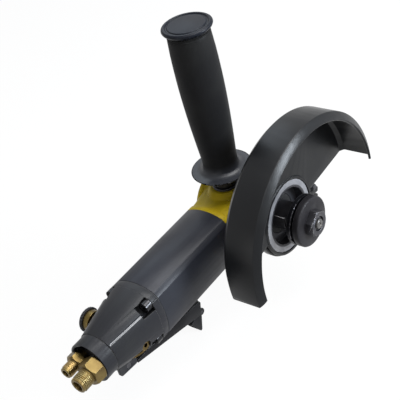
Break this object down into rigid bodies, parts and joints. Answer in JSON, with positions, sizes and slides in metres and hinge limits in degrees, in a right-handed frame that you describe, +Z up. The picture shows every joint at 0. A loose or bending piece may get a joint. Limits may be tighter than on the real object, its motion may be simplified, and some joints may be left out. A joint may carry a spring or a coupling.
{
  "type": "pneumatic stone cutter",
  "caption": "Hand-held pneumatic angle stone cutter with wet feed: geared head, open wheel guard, side handle, squared motor housing, throttle lever and brass hose fittings.",
  "frame": {"origin": "centre of the spindle axis on the inner flange's blade face", "axes": "+X out along the spindle away from the head, +Y from the hose end towards the head and on forward, +Z up along the side handle"},
  "size_m": [0.1082, 0.2973, 0.2321],
  "materials": {
    "yellow_paint": "satin",
    "black_coat": "satin",
    "guard_coat": "satin",
    "lever_coat": "satin",
    "black_oxide": "glossy",
    "bare_steel": "machined",
    "spring_steel": "bright",
    "brass": "machined",
    "grip_rubber": "matte",
    "cap_plastic": "satin",
    "knob_plastic": "satin",
    "seal_rubber": "matte",
    "vane_laminate": "matte",
    "felt": "matte"
  },
  "bodies": {
    "tool_body": {"gear_head": "yellow_paint", "head_cover": "yellow_paint", "head_cover_screws": "bare_steel", "head_cover_seal": "seal_rubber", "bearing_retainer": "bare_steel", "spindle_seal": "seal_rubber", "front_spindle_bearing": "bare_steel", "rear_spindle_bearing": "bare_steel", "water_injector": "brass", "motor_housing": "black_coat", "cylinder_liner": "bare_steel", "front_end_plate": "bare_steel", "rear_end_plate": "bare_steel", "front_rotor_bearing": "bare_steel", "rear_rotor_bearing": "bare_steel", "rear_gasket": "seal_rubber", "rear_cover": "black_coat", "body_screws": "black_oxide", "air_inlet_fitting": "brass", "water_inlet_fitting": "brass", "air_strainer": "bare_steel", "exhaust_silencer": "felt", "throttle_valve_body": "brass", "throttle_valve_plug": "brass", "valve_port_bush": "brass", "throttle_spring": "spring_steel", "lever_pin": "bare_steel", "water_valve_body": "brass", "knob_circlip": "black_oxide", "water_tube": "bare_steel", "handle_grip": "grip_rubber", "handle_stud": "bare_steel", "handle_collar": "lever_coat", "handle_washer": "bare_steel", "handle_cap": "cap_plastic"},
    "drive_spindle": {"spindle": "black_oxide", "bevel_gear": "bare_steel", "gear_key": "bare_steel", "gear_circlip": "black_oxide", "inner_flange": "black_oxide", "outer_flange": "black_oxide", "flange_nut": "black_oxide", "water_nozzle": "bare_steel", "injector_seal": "seal_rubber"},
    "motor_rotor": {"rotor": "bare_steel", "vanes": "vane_laminate", "bevel_pinion": "bare_steel"},
    "lever": {"throttle_lever": "lever_coat", "latch_pin": "bare_steel", "latch_spring": "spring_steel"},
    "latch": {"safety_latch": "lever_coat"},
    "valve": {"valve_stem": "bare_steel", "valve_face_seal": "seal_rubber"},
    "knob": {"water_knob": "brass", "knob_cap": "knob_plastic"},
    "needle": {"water_needle": "bare_steel"},
    "guard": {"wheel_guard": "guard_coat", "guard_clamp": "guard_coat", "clamp_screw": "black_oxide", "clamp_nut": "black_oxide"}
  },
  "joints": [
    {"name": "spindle_spin", "type": "hinge", "parent": "tool_body", "child": "drive_spindle", "pos_m": [0, 0, 0], "axis": [1, 0, 0], "continuous": true},
    {"name": "rotor_spin", "type": "hinge", "parent": "tool_body", "child": "motor_rotor", "pos_m": [-0.06, -0.08, 0], "axis": [0, 1, 0], "continuous": true},
    {"name": "throttle_press", "type": "hinge", "parent": "tool_body", "child": "lever", "pos_m": [-0.06, -0.1654, -0.0231], "axis": [1, 0, 0], "range_deg": [0, 6.5], "stiffness_Nm_per_rad": 10, "springref_deg": -6.88},
    {"name": "valve_slide", "type": "slide", "parent": "tool_body", "child": "valve", "axis": [0, 0, 1], "range_m": [0, 0.0016], "deforming": ["throttle_spring"]},
    {"name": "latch_fold", "type": "hinge", "parent": "lever", "child": "latch", "pos_m": [-0.06, -0.0822, -0.0454], "axis": [1, 0, 0], "range_deg": [0, 25], "stiffness_Nm_per_rad": 0.15, "springref_deg": -22.92},
    {"name": "water_knob_turn", "type": "hinge", "parent": "tool_body", "child": "knob", "pos_m": [-0.088, -0.157, 0], "axis": [-1, 0, 0], "range_deg": [0, 360]},
    {"name": "water_needle_slide", "type": "slide", "parent": "knob", "child": "needle", "axis": [-1, 0, 0], "range_m": [0, 0.0015]},
    {"name": "guard_turn", "type": "hinge", "parent": "tool_body", "child": "guard", "pos_m": [-0.018, 0, 0], "axis": [1, 0, 0], "range_deg": [-60, 60]}
  ],
  "couplings": [
    {"joint": "rotor_spin", "follows": "spindle_spin", "ratio": 2},
    {"joint": "valve_slide", "follows": "throttle_press", "m_per_rad": 0.0134},
    {"joint": "water_knob_turn", "follows": "water_needle_slide", "rad_per_m": 4180}
  ]
}
